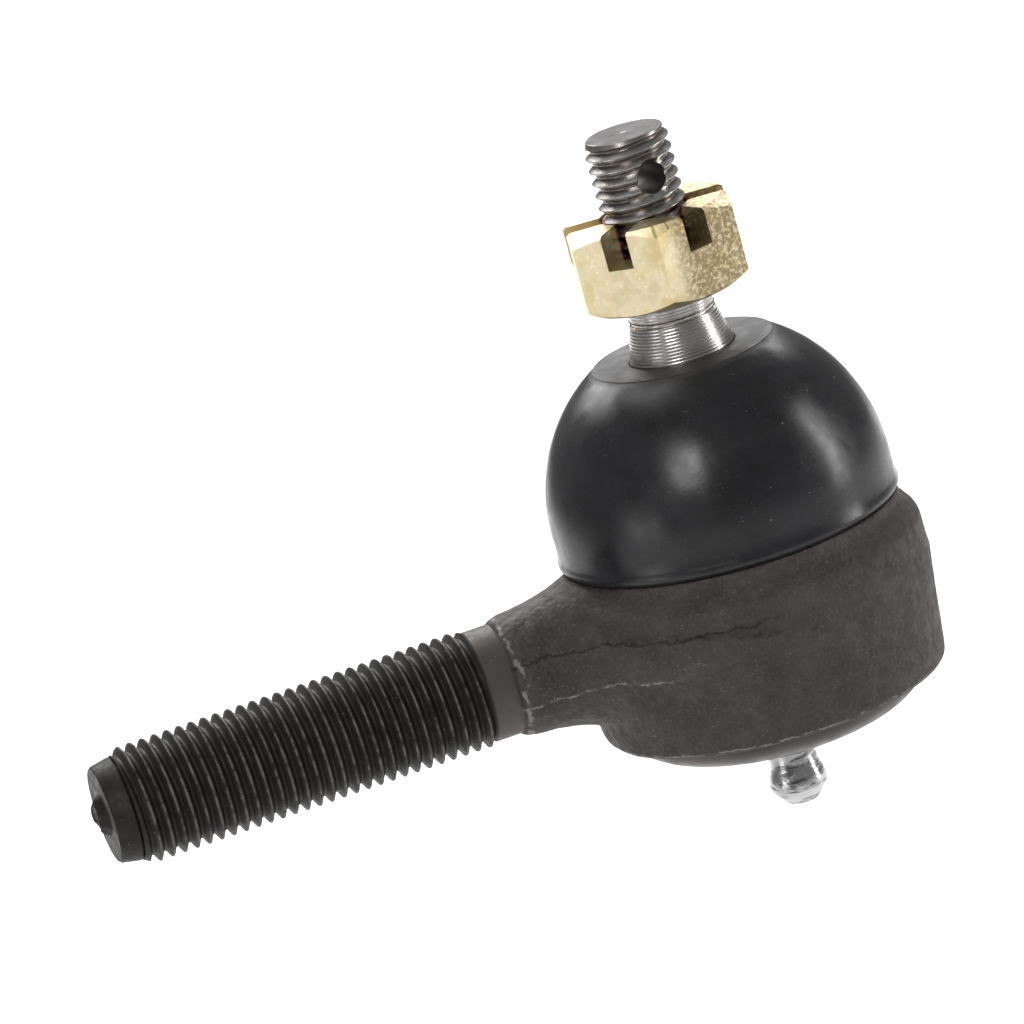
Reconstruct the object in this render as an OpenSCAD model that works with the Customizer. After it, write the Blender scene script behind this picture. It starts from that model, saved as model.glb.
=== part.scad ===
// Tie rod end: a forged housing with a threaded shank, holding a ball stud
// that tilts and turns.  The stud carries a castle nut, and a rubber boot
// seals its neck.  The origin is the ball centre, where the shank's axis (X)
// meets the stud's axis (Z).

/* [Shank] */
// Nominal diameter of the shank's thread
shank_d = 14; // [12:0.5:16]
// Pitch of the shank's thread
shank_pitch = 1.5; // [1:0.25:2]
// Distance from the ball centre to the shank's tip
shank_reach = 80; // [66:1:100]
// Length of the thread, from the tip's chamfer
thread_len = 44; // [30:1:46]
// Length of the plain collar behind the thread
collar_len = 3.2; // [2:0.1:4]
// Diameter of the plain collar
collar_d = 13.2; // [11:0.1:15.5]
// Length of the tip's chamfer
tip_chamfer = 2.2; // [1:0.1:3]

/* [Housing] */
// Radius of the bowl at its shoulder
bowl_r = 21.8; // [21:0.1:27]
// Height of the bowl's top face above the ball centre
bowl_top = 8.7; // [8.2:0.1:9.5]
// Depth of the bowl's lower rim below the ball centre
bowl_depth = 12.3; // [12:0.1:15]
// How far the bowl narrows from its shoulder to its lower rim
bowl_draft = 1.3; // [0.4:0.1:2]
// Radius of the bore that takes the pressure seat
seat_bore_r = 15.5; // [14:0.1:16]
// Thickness of the crimped lip that holds the end cover
lip_t = 1.3; // [0.8:0.1:1.6]
// How far the lip laps over the end cover's rim
lip_lap = 0.9; // [0.6:0.1:1.6]

/* [Ball stud] */
// Radius of the ball
ball_r = 11.5; // [10.5:0.1:12.5]
// Radius of the stud's neck, inside the half ball
neck_r = 5.5; // [4.5:0.1:5.8]
// Height of the stud's top above the ball centre
stud_top = 57; // [52:0.5:68]
// Nominal diameter of the stud's thread
stud_d = 10; // [9:0.5:12]
// Pitch of the stud's thread
stud_pitch = 1.5; // [1:0.25:1.75]
// Length of the stud's thread
stud_thread_len = 19.7; // [16:0.1:24]
// Height of the taper's large end above the ball centre
taper_base = 27; // [25:0.5:29]
// Length of the taper that seats in the steering arm
taper_len = 7.6; // [6:0.2:9]
// Angle between the taper's side and its axis
taper_angle = 14; // [4:0.5:16]
// Diameter of the hole for the split pin
cotter_d = 3.6; // [2.5:0.1:4]
// Distance from the stud's top to the split pin's hole
cotter_drop = 5.2; // [4:0.1:7]
// Direction of the split pin's hole, about the stud
cotter_turn = -78; // [-180:1:180]

/* [Castle nut] */
// Width across the nut's flats
nut_af = 19; // [17:0.5:22]
// Height of the whole nut
nut_h = 10; // [8:0.1:12]
// Depth of the nut's slots
slot_depth = 4.2; // [3:0.1:5]
// Width of the nut's slots
slot_w = 3.2; // [2.5:0.1:4]
// Gap between the nut and the end of the stud's thread
nut_gap = 0.3; // [0:0.1:1]
// Direction of one corner of the nut, about the stud
nut_turn = -100; // [-180:1:180]

/* [Boot] */
// Largest radius of the boot
boot_r = 20.2; // [18.5:0.1:21]
// Radius of the boot's flat top
boot_top_r = 10.7; // [9.5:0.1:12]
// Height of the boot
boot_h = 21.7; // [20:0.1:23.2]
// Thickness of the boot's wall
boot_wall = 2.2; // [1.5:0.1:3]

/* [End cover and grease nipple] */
// Radius of the end cover
cover_r = 18.8; // [18.2:0.1:19]
// Thickness of the end cover
cover_t = 1.6; // [1.2:0.1:2]
// How far the cover bulges below its rim
cover_bulge = 6.3; // [5.8:0.1:7]
// Radius of the nipple's shank, which is driven into the cover
nipple_r = 3; // [2.5:0.1:3.2]
// Largest radius of the nipple's head
nipple_head_r = 3.45; // [3.3:0.05:3.7]
// Length of the nipple below the cover
nipple_len = 8.3; // [7:0.1:10]

/* [Inner pieces] */
// Thickness of the wire of the preload spring
spring_wire = 1.6; // [1.2:0.1:1.9]
// Number of turns in the preload spring
spring_turns = 2; // [1.6:0.1:2.2]
// Depth of the pressure seat below the flat under the ball
seat_floor = 1.6; // [1:0.1:2]
// Radius of the check ball in the nipple
check_ball_r = 1.1; // [0.9:0.05:1.2]

/* [Hidden] */
$fn = 96;

// Clearances
run_gap = 0.05;   // between surfaces that slide on each other
seat_gap = 0.04;  // between pieces that rest on each other
thread_gap = 0.1; // between the nut's thread and the stud's

// Thread proportions, as shares of the pitch
thread_depth = 0.6134;
crest_flat = 0.125;

// Shank
shank_r = shank_d / 2;
thread_end = -shank_reach + tip_chamfer + thread_len;
collar_end = thread_end + collar_len;
neck_flare_r = 9.2; // the forged neck where it meets the bowl
neck_clear = 0.2;   // the neck stays this far below the bowl's top face
neck_root = -18;    // where the neck's solid ends, inside the bowl's wall

// Bowl
shoulder_h = 3.6;                        // height of the shoulder
shoulder_in = 1.9;                       // how far the shoulder slopes in
shoulder_land = 1.3;                     // upright part of the shoulder, below the boot
rim_chamfer = 0.5;                       // at the lower rim
spigot_r = boot_r - boot_wall - 0.5;     // ring that centres the boot
spigot_h = 1.4;
cavity_r = ball_r + run_gap;             // spherical seat
throat_z = 6;                            // height of the throat's edge
throat_r = sqrt(cavity_r * cavity_r - throat_z * throat_z);
throat_flare = 2.1;                      // how far the mouth opens above the throat
step_z = -1;                             // top of the seat's bore
lip_z = -bowl_depth + lip_t;             // upper face of the crimped lip
cover_seat_z = lip_z + cover_t + seat_gap; // shoulder that the cover's rim rests on
lip_r = cover_r - lip_lap;               // the lip's inner edge

// Stud
stud_r = stud_d / 2;
taper_top = taper_base + taper_len;
taper_small_r = stud_r + 0.15;
taper_large_r = taper_small_r + taper_len * tan(taper_angle);
stud_thread_end = stud_top - stud_thread_len;
relief_h = 0.5;                          // groove at the top of the taper
relief_depth = 0.45;
neck_top = 21;                           // where the neck starts to widen
head_flat = -ball_r * 0.78;              // flat under the ball
stud_chamfer = 0.6;

// Nut
nut_z = stud_thread_end + nut_gap;
nut_corner_r = nut_af / 2 / cos(30);
nut_chamfer_r = nut_af / 2 * 0.96;
nut_chamfer = (nut_corner_r - nut_chamfer_r) * tan(30);

// Boot
boot_base = bowl_top + seat_gap;
boot_top = boot_base + boot_h;
boot_collar = 3;                         // thickness of the flat top
// height of the centre of the dome's arc, whose radius is boot_r
boot_centre_z = boot_top - sqrt(boot_r * boot_r - boot_top_r * boot_top_r);

// Cover and nipple
cover_floor = cover_seat_z - cover_bulge - cover_t;
nipple_top = cover_floor + cover_t + 2.6;
nipple_end = cover_floor - nipple_len;
nipple_head_low = nipple_end + 1.9;      // lower edge of the head's cylindrical part
nipple_head_top = nipple_end + 3;
nipple_neck_low = nipple_end + 5.1;      // where the neck starts to widen into the head
nipple_bore_r = check_ball_r + 0.15;
nipple_mouth_r = check_ball_r * 0.62;
nipple_seat_z = nipple_end + 1.2;
nipple_lip = 0.6;
check_ball_z = nipple_seat_z + sqrt(pow(check_ball_r, 2) - pow(nipple_mouth_r, 2)) + 0.02;
check_wire = 0.3;

// Seat and springs
seat_r = seat_bore_r - run_gap;
seat_top = -1.6;
seat_base = head_flat - seat_floor;
seat_hole_r = 4;
spring_bottom_r = 11.2;
spring_top_r = 7.6;
dish_square = 2.5;                       // 2 is a plain ellipse, and more is squarer
spring_high = seat_base - seat_gap - spring_wire / 2;
dish_r = lip_r - seat_gap;               // outside of the cover's dished part
dish_in_r = dish_r - cover_t;            // inside of the cover's dished part
dish_in_z = lip_z + cover_t / 2;
dish_out_z = lip_z - lip_t / 2;
spring_reach = spring_bottom_r + spring_wire / 2;
spring_floor = dish_in_z + (cover_floor + cover_t - dish_in_z)
    * pow(1 - pow(spring_reach / dish_in_r, dish_square), 1 / dish_square);
spring_low = spring_floor + spring_wire / 2 + 0.15;

// Outline of a shaft with V grooves between two places along it, as
// [radius, place] pairs, from the first crest to the last
function ridges(r, pitch, from, to, grow = 0) =
    let (n = floor((to - from) / pitch), flat = crest_flat * pitch, deep = thread_depth * pitch,
         slope = (pitch - flat - flat * 2) / 2)
    [for (i = [0 : n - 1], step = [0 : 3])
        let (z = from + i * pitch)
        [step < 2 ? r + grow : r - deep + grow,
         z + (step == 0 ? 0 : step == 1 ? flat : step == 2 ? flat + slope : flat + slope + flat * 2)]];

// Points of a squared quarter-ellipse from [r1, z1] at its side to [0, z2]
function dish(r1, z1, z2, n = 14) =
    [for (i = [0 : n]) let (a = 90 * i / n)
        [r1 * pow(cos(a), 2 / dish_square), z1 + (z2 - z1) * pow(sin(a), 2 / dish_square)]];

// Points of a circular arc about [0, centre], from its side up to the height top
function dome(r, centre, top, n = 14) =
    [for (i = [0 : n]) let (a = asin((top - centre) / r) * i / n) [r * cos(a), centre + r * sin(a)]];

// A round wire swept along a conical helix about Z
module coil(low, high, low_r, high_r, turns, wire, sides = 8, steps = 20) {
    n = floor(turns * steps);
    points = [for (i = [0 : n], s = [0 : sides - 1])
        let (t = i / n, a = 360 * turns * t, b = 360 * s / sides,
             r = low_r + (high_r - low_r) * t + wire / 2 * cos(b),
             z = low + (high - low) * t + wire / 2 * sin(b))
        [r * cos(a), r * sin(a), z]];
    sides_faces = [for (i = [0 : n - 1], s = [0 : sides - 1])
        let (a = i * sides + s, b = i * sides + (s + 1) % sides)
        [a, a + sides, b + sides, b]];
    first = [for (s = [0 : sides - 1]) s];
    last = [for (s = [0 : sides - 1]) n * sides + sides - 1 - s];
    polyhedron(points, concat(sides_faces, [first], [last]), convexity = 8);
}

module shank() {
    crests = ridges(shank_r, shank_pitch, -shank_reach + tip_chamfer, thread_end);
    root = shank_r - thread_depth * shank_pitch;
    rotate([0, 90, 0]) rotate_extrude()
        polygon(concat([[0, -shank_reach], [shank_r - tip_chamfer * 0.75, -shank_reach]],
                       crests,
                       [[root, thread_end - 0.4], [collar_d / 2, thread_end], [collar_d / 2, collar_end],
                        [0, collar_end]]));
}

module forged_neck() {
    length = neck_root - collar_end;
    start_r = collar_d / 2 + 0.25;
    intersection() {
        rotate([0, 90, 0]) rotate_extrude()
            polygon(concat([[0, collar_end - 0.1], [start_r, collar_end - 0.1]],
                           [for (t = [0.125 : 0.125 : 1])
                               [start_r + (neck_flare_r - start_r) * t * t, collar_end + length * t]],
                           [[0, neck_root]]));
        translate([-shank_reach, -shank_reach, -shank_reach])
            cube([shank_reach, shank_reach * 2, shank_reach + bowl_top - neck_clear]);
    }
}

module bowl_outline() {
    low_r = bowl_r - bowl_draft;
    polygon([[0, -bowl_depth], [low_r - rim_chamfer, -bowl_depth], [low_r, -bowl_depth + rim_chamfer],
             [bowl_r, bowl_top - shoulder_h - 5], [bowl_r, bowl_top - shoulder_h],
             [bowl_r - shoulder_in, bowl_top - shoulder_land], [bowl_r - shoulder_in, bowl_top], [spigot_r, bowl_top], [spigot_r, bowl_top + spigot_h],
             [0, bowl_top + spigot_h]]);
}

module housing() {
    mouth_top = bowl_top + spigot_h + 0.1;
    color([0.24, 0.22, 0.21]) difference() {
        union() {
            rotate_extrude() bowl_outline();
            forged_neck();
            shank();
        }
        // seat for the half ball, and the flared mouth above it
        sphere(r = cavity_r);
        translate([0, 0, throat_z - 0.01])
            cylinder(r1 = throat_r, r2 = throat_r + throat_flare, h = mouth_top - throat_z);
        // bore for the pressure seat
        translate([0, 0, cover_seat_z - 1]) cylinder(r = seat_bore_r, h = step_z - cover_seat_z + 1);
        // recess for the cover's rim, and the opening inside the crimped lip
        translate([0, 0, lip_z]) cylinder(r = cover_r + seat_gap, h = cover_seat_z - lip_z);
        translate([0, 0, lip_z - lip_t - 1]) cylinder(r = lip_r, h = lip_t + 2);
    }
}

module ball_stud() {
    crests = [for (p = ridges(stud_r, stud_pitch, 0, stud_thread_len - stud_chamfer))
                  [p[0], stud_top - stud_chamfer - p[1]]];
    color([0.72, 0.72, 0.72]) difference() {
        union() {
            intersection() {
                sphere(r = ball_r);
                translate([0, 0, head_flat]) cylinder(r = ball_r + 1, h = -head_flat);
            }
            rotate_extrude()
                polygon(concat([[0, -1], [neck_r, -1], [neck_r, neck_top],
                                [taper_large_r, taper_base - 1.5], [taper_large_r, taper_base],
                                [taper_small_r, taper_top], [taper_small_r - relief_depth, taper_top],
                                [taper_small_r - relief_depth, taper_top + relief_h],
                                [stud_r, taper_top + relief_h], [stud_r, stud_thread_end - 0.2],
                                [stud_r - thread_depth * stud_pitch, stud_thread_end]],
                               [for (i = [len(crests) - 1 : -1 : 0]) crests[i]],
                               [[stud_r - stud_chamfer, stud_top], [0, stud_top]]));
        }
        rotate([0, 0, cotter_turn]) translate([0, 0, stud_top - cotter_drop]) rotate([0, 90, 0])
            cylinder(d = cotter_d, h = stud_d * 2, center = true);
    }
}

module half_ball() {
    top = ball_r * 0.74;
    color([0.55, 0.55, 0.56]) difference() {
        intersection() {
            sphere(r = ball_r);
            translate([0, 0, seat_gap]) cylinder(r = ball_r + 1, h = top);
        }
        translate([0, 0, -1]) cylinder(r = neck_r + run_gap, h = top + 2);
    }
}

module pressure_seat() {
    color([0.45, 0.45, 0.47]) difference() {
        translate([0, 0, seat_base]) cylinder(r = seat_r, h = seat_top - seat_base);
        sphere(r = cavity_r);
        translate([0, 0, seat_base - 1]) cylinder(r = seat_hole_r, h = ball_r);
    }
}

module preload_spring() {
    color([0.35, 0.36, 0.38])
        coil(spring_low, spring_high, spring_bottom_r, spring_top_r, spring_turns, spring_wire);
}

module end_cover() {
    inside = dish(dish_in_r, dish_in_z, cover_floor + cover_t);
    outside = dish(dish_r, dish_out_z, cover_floor);
    rim_z = cover_seat_z - seat_gap / 2;
    color([0.3, 0.28, 0.27]) difference() {
        rotate_extrude()
            polygon(concat([[dish_in_r, rim_z], [cover_r, rim_z], [cover_r, lip_z + seat_gap / 2],
                            [dish_r, lip_z + seat_gap / 2]],
                           outside,
                           [for (i = [len(inside) - 1 : -1 : 0]) inside[i]]));
        translate([0, 0, cover_floor - 1]) cylinder(r = nipple_r + seat_gap, h = cover_t + cover_bulge);
    }
}

module castle_nut() {
    bore = ridges(stud_r, stud_pitch, 0, stud_thread_len - stud_chamfer, thread_gap);
    bore_root = stud_r - thread_depth * stud_pitch + thread_gap;
    half = nut_h / 2;
    color([0.85, 0.78, 0.55]) difference() {
        translate([0, 0, nut_z]) rotate([0, 0, nut_turn]) intersection() {
            cylinder(r = nut_corner_r, h = nut_h, $fn = 6);
            translate([0, 0, half]) rotate_extrude()
                polygon([[0, -half], [nut_chamfer_r, -half], [nut_corner_r + 0.1, -half + nut_chamfer * 1.1],
                         [nut_corner_r + 0.1, half - nut_chamfer * 1.1], [nut_chamfer_r, half], [0, half]]);
        }
        // threaded bore
        intersection() {
            translate([0, 0, nut_z - 1]) cylinder(r = stud_d, h = nut_h + 2);
            rotate_extrude()
                polygon(concat([[0, stud_top]],
                               [for (p = bore) [p[0], stud_top - stud_chamfer - p[1]]],
                               [[bore_root, nut_z - 1], [0, nut_z - 1]]));
        }
        // slots in the middle of the flats
        for (i = [0 : 2])
            translate([0, 0, nut_z + nut_h - slot_depth]) rotate([0, 0, nut_turn + 30 + 60 * i])
                translate([-nut_af, -slot_w / 2, 0]) cube([nut_af * 2, slot_w, slot_depth + 1]);
        // countersinks at both ends of the bore
        translate([0, 0, nut_z - 0.01]) cylinder(r1 = stud_r + 0.5, r2 = stud_r - 0.6, h = 1.1);
        translate([0, 0, nut_z + nut_h - 1.09]) cylinder(r1 = stud_r - 0.6, r2 = stud_r + 0.5, h = 1.1);
    }
}

module dust_boot() {
    inner_top = boot_top - boot_collar;
    hole_r = taper_small_r + (taper_top - boot_top) * tan(taper_angle) + run_gap;
    hole_low_r = hole_r + boot_collar * tan(taper_angle);
    outer = dome(boot_r, boot_centre_z, boot_top);
    inner = dome(boot_r - boot_wall, boot_centre_z, inner_top);
    color([0.07, 0.07, 0.075]) rotate_extrude()
        polygon(concat([[boot_r - 0.3, boot_base], [boot_r, boot_base + 0.8]], outer,
                       [[hole_r, boot_top], [hole_low_r, inner_top]],
                       [for (i = [len(inner) - 1 : -1 : 0]) inner[i]],
                       [[boot_r - boot_wall, boot_base]]));
}

module nipple_body() {
    color([0.8, 0.8, 0.81]) difference() {
        rotate_extrude()
            polygon([[0, nipple_top], [nipple_r - 0.4, nipple_top], [nipple_r, nipple_top - 0.6],
                     [nipple_r, cover_floor], [nipple_r - 0.15, cover_floor - 0.4],
                     [nipple_r - 0.15, nipple_neck_low], [nipple_head_r, nipple_head_top],
                     [nipple_head_r, nipple_head_low], [nipple_head_r * 0.5, nipple_end],
                     [0, nipple_end]]);
        translate([0, 0, nipple_end - 1]) cylinder(r = nipple_mouth_r, h = nipple_top - nipple_end + 2);
        translate([0, 0, nipple_seat_z])
            cylinder(r = nipple_bore_r, h = nipple_top - nipple_lip - nipple_seat_z);
    }
}

module nipple_ball() {
    color([0.7, 0.7, 0.72]) translate([0, 0, check_ball_z]) sphere(r = check_ball_r);
}

module nipple_spring() {
    low = check_ball_z + check_ball_r + check_wire / 2 + 0.02;
    high = nipple_top - nipple_lip - check_wire / 2 - 0.02;
    radius = nipple_bore_r - check_wire / 2 - 0.1;
    color([0.6, 0.6, 0.6]) coil(low, high, radius, radius, 8, check_wire, 6, 12);
}

housing();
ball_stud();
half_ball();
pressure_seat();
preload_spring();
end_cover();
castle_nut();
dust_boot();
nipple_body();
nipple_ball();
nipple_spring();
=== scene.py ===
# A tie rod end: forged housing and shank, ball stud, castle nut, rubber boot,
# crimped end cover and grease nipple.  The stud's axis is Z, the shank's is X,
# and the ball's centre is the origin.
import math
import bpy
from mathutils import Matrix, Vector, noise


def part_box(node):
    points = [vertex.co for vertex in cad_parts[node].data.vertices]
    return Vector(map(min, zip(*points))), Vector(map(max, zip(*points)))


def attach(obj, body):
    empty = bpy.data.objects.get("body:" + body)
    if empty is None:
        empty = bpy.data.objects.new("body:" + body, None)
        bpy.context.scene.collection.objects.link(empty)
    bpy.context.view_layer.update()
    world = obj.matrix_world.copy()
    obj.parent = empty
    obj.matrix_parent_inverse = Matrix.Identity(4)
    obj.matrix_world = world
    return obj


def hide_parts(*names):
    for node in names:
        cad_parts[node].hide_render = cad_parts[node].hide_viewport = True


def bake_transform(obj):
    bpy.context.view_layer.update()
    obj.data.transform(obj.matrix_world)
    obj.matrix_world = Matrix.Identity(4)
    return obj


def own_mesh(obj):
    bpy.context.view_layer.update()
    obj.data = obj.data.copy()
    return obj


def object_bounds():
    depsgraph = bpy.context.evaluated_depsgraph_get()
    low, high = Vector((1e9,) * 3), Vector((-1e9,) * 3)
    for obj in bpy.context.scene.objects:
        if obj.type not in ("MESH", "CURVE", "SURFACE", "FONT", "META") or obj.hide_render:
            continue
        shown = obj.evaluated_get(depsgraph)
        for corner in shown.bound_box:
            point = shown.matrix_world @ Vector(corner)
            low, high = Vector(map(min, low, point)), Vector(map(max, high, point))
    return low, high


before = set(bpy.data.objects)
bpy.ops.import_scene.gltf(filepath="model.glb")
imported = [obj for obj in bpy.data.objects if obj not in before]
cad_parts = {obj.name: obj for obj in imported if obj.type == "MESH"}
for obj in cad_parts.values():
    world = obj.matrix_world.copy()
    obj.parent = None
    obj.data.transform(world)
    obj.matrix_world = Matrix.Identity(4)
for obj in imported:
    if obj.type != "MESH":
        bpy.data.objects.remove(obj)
cad_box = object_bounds()

# ---------------------------------------------------------------------------
# Housing: one steel forging, a round bowl with a short neck and a shank.  Its
# skin is the black, slightly pebbled scale of a hot forging, with the trimmed
# flash left as a low land along the parting plane.  The bowl is then bored
# for the ball, and the shank is turned and threaded.
# ---------------------------------------------------------------------------
mm = 0.001
housing_low, housing_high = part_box("housing")
bowl_r = housing_high[0]
shank_tip = -housing_low[0]
spigot_top = housing_high[2]
lip_bottom = housing_low[2]
spigot_h = 1.4 * mm
bowl_top = spigot_top - spigot_h
shoulder_h = 3.6 * mm
shoulder_in = 1.9 * mm
shoulder_land = 1.3 * mm
rim_r = bowl_r - 1.3 * mm
cover_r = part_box("end_cover")[1][0]
lip_r = cover_r - 0.9 * mm
shank_r = 7 * mm
shank_pitch = 1.5 * mm
thread_length = 44 * mm
tip_chamfer = 2.2 * mm
collar_r = 6.6 * mm
collar_length = 3.6 * mm
thread_start = shank_tip - tip_chamfer - thread_length
collar_start = thread_start - collar_length
ball_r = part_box("ball_stud")[1][0]


def single_point(name):
    """Add an object that holds one vertex at the origin, and edit it."""
    bpy.ops.object.select_all(action="DESELECT")
    bpy.ops.mesh.primitive_plane_add(size=mm)
    piece = bpy.context.active_object
    piece.name = piece.data.name = name
    bpy.ops.object.mode_set(mode="EDIT")
    bpy.ops.mesh.merge(type="CENTER")
    return piece


def draw(outline):
    """Extrude the selected vertex along an outline of (radius, height) points."""
    radius, height = outline[0]
    bpy.ops.transform.translate(value=(radius, 0, height))
    for (r0, z0), (r1, z1) in zip(outline, outline[1:]):
        bpy.ops.mesh.extrude_region_move(TRANSFORM_OT_translate={"value": (r1 - r0, 0, z1 - z0)})


def close_up(gap=0.003 * mm):
    """Merge doubles all over, turn the faces outwards and leave edit mode."""
    bpy.ops.mesh.select_all(action="SELECT")
    bpy.ops.mesh.remove_doubles(threshold=gap)
    bpy.ops.mesh.normals_make_consistent(inside=False)
    bpy.ops.object.mode_set(mode="OBJECT")


def turned(name, outline, steps=128):
    """Turn an outline about Z, as on a lathe."""
    piece = single_point(name)
    draw(outline)
    bpy.ops.mesh.select_all(action="SELECT")
    bpy.ops.mesh.spin(steps=steps, angle=2 * math.pi, center=(0, 0, 0), axis=(0, 0, 1))
    close_up()
    return piece


def bend(centre, radius, start, end, count):
    """Points of an arc, for an outline; angles in degrees from the radius axis."""
    angles = [math.radians(start + (end - start) * i / count) for i in range(count + 1)]
    return [(centre[0] + radius * math.cos(a), centre[1] + radius * math.sin(a)) for a in angles]


def screw_thread(name, radius, pitch, low, high, steps=96, depth=0.6134):
    """A right-hand V thread about Z with blunt crests and roots, cut off flat."""
    piece = single_point(name)
    root = radius - depth * pitch
    blunt = 0.03 * pitch
    draw([(radius - blunt, 0), (radius, 0.04 * pitch), (radius, 0.1 * pitch), (radius - blunt, 0.14 * pitch),
          (root + blunt, 0.44 * pitch), (root, 0.5 * pitch), (root, 0.64 * pitch),
          (root + blunt, 0.7 * pitch), (radius - blunt, pitch)])
    bpy.ops.mesh.select_all(action="SELECT")
    bpy.ops.transform.translate(value=(0, 0, low - pitch))
    bpy.ops.object.mode_set(mode="OBJECT")
    bpy.ops.object.modifier_add(type="SCREW")
    screw = piece.modifiers[-1]
    screw.screw_offset = pitch
    screw.iterations = math.ceil((high - low) / pitch) + 2
    screw.steps = screw.render_steps = steps
    bpy.ops.object.modifier_apply(modifier=screw.name)
    bpy.ops.object.mode_set(mode="EDIT")
    bpy.ops.mesh.select_all(action="SELECT")
    bpy.ops.mesh.remove_doubles(threshold=0.003 * mm)
    for height, above in ((low, True), (high, False)):
        bpy.ops.mesh.select_all(action="SELECT")
        bpy.ops.mesh.bisect(plane_co=(0, 0, height), plane_no=(0, 0, 1), use_fill=True,
                            threshold=1e-7, clear_inner=above, clear_outer=not above)
    close_up()
    return piece


def combine(piece, tool, operation):
    """Join, cut or trim a piece with a tool, which is used up."""
    bpy.ops.object.select_all(action="DESELECT")
    bpy.context.view_layer.objects.active = piece
    piece.select_set(True)
    bpy.ops.object.modifier_add(type="BOOLEAN")
    boolean = piece.modifiers[-1]
    boolean.object = tool
    boolean.operation = operation
    boolean.solver = "EXACT"
    bpy.ops.object.modifier_apply(modifier=boolean.name)
    bpy.data.objects.remove(tool)


def smooth(piece, angle=30):
    """Shade smooth, with edges sharper than the angle left crisp."""
    bpy.ops.object.select_all(action="DESELECT")
    bpy.context.view_layer.objects.active = piece
    piece.select_set(True)
    bpy.ops.object.shade_smooth_by_angle(angle=math.radians(angle))


def lay_along_shank(piece):
    """Swing a piece turned about Z down onto the shank's axis, -X."""
    bpy.ops.object.select_all(action="DESELECT")
    bpy.context.view_layer.objects.active = piece
    piece.select_set(True)
    piece.rotation_euler = (0, -math.pi / 2, 0)
    bpy.ops.object.transform_apply(location=False, rotation=True, scale=False)


# the forging: bowl and neck joined, then skinned over so that they flow together
forging = turned("housing", [
    (0, lip_bottom), (rim_r - 0.7 * mm, lip_bottom)]
    + bend((rim_r - 0.7 * mm, lip_bottom + 0.7 * mm), 0.7 * mm, -70, 0, 5)
    + [(bowl_r - 0.1 * mm, bowl_top - shoulder_h - 5 * mm)]
    + bend((bowl_r - 1.6 * mm, bowl_top - shoulder_h - 0.6 * mm), 1.5 * mm, 0, 50, 6)
    + [(bowl_r - shoulder_in, bowl_top - shoulder_land), (bowl_r - shoulder_in, bowl_top), (0, bowl_top)], 160)
neck_end = collar_start + 0.4 * mm
neck = turned("neck", [
    (0, 15 * mm), (10.4 * mm, 15 * mm), (9.2 * mm, 20 * mm), (8.1 * mm, 23 * mm), (7.5 * mm, 26 * mm),
    (7.3 * mm, neck_end - 1.6 * mm), (7.0 * mm, neck_end - 0.5 * mm), (6.7 * mm, neck_end),
    (0, neck_end)], 96)
lay_along_shank(neck)
bpy.ops.object.mode_set(mode="EDIT")
bpy.ops.mesh.select_all(action="SELECT")
bpy.ops.mesh.bisect(plane_co=(0, 0, bowl_top - 0.2 * mm), plane_no=(0, 0, 1), use_fill=True,
                    threshold=1e-7, clear_outer=True)
close_up()
combine(forging, neck, "UNION")
bpy.ops.object.modifier_add(type="REMESH")
skin = forging.modifiers[-1]
skin.mode = "VOXEL"
skin.voxel_size = 0.33 * mm
bpy.ops.object.modifier_apply(modifier=skin.name)

# fillets: only the corner between neck and bowl is relaxed
corner = forging.vertex_groups.new(name="corner")
for point in forging.data.vertices:
    x, y, z = point.co
    from_bowl = abs(math.hypot(x, y) - bowl_r + 0.5 * mm)
    from_neck = abs(math.hypot(y, z) - 8.6 * mm)
    if x < 0:
        near = max(0.0, 1 - from_bowl / (4.5 * mm)) * max(0.0, 1 - from_neck / (5 * mm))
        corner.add([point.index], min(1.0, 2.4 * near), "REPLACE")
bpy.ops.object.modifier_add(type="SMOOTH")
relax = forging.modifiers[-1]
relax.factor = 0.5
relax.iterations = 60
relax.vertex_group = corner.name
bpy.ops.object.modifier_apply(modifier=relax.name)
bpy.ops.object.modifier_add(type="SMOOTH")
relax = forging.modifiers[-1]
relax.factor = 0.5
relax.iterations = 3
bpy.ops.object.modifier_apply(modifier=relax.name)
forging.vertex_groups.clear()

# the hammered skin and the trimmed flash
flash_reach = 27 * mm


def ramp(value, low, high):
    """0 below low, 1 above high, and smooth between them."""
    t = min(1.0, max(0.0, (value - low) / (high - low)))
    return t * t * (3 - 2 * t)


for point in forging.data.vertices:
    x, y, z = point.co
    place = point.co / mm
    lump = noise.noise(place * 0.16) * 0.16 + noise.noise(place * 0.55 + Vector((7, 3, 1))) * 0.07
    pebble = noise.noise(place * 1.5 + Vector((1, 9, 4))) * 0.022
    ragged = noise.noise(place * Vector((0.9, 0.9, 0.4)) + Vector((3, 3, 8))) * 0.35
    fade = 1 - ramp(x / mm, -16, -1)
    half_width = 0.5 + 2.1 * fade
    step = 1 - ramp(abs(z / mm - 0.3) + ragged * 0.8, half_width, half_width + 0.3)
    land = 0.55 * step * ramp(abs(y) / mm, 3, 5) * (1 - ramp(x / mm, -6 + ragged * 12, 3 + ragged * 12))
    away = Vector((x, y, 0)).normalized() if x > -20 * mm else Vector((0, y, z)).normalized()
    calm = 0.3 + 0.7 * ramp(z, lip_bottom, lip_bottom + 2 * mm)
    calm *= 1 - ramp(z, bowl_top - shoulder_land, bowl_top)
    point.co += away * (lump + pebble) * calm * mm
    point.co += Vector((0, math.copysign(land, y), 0)) * mm

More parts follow.
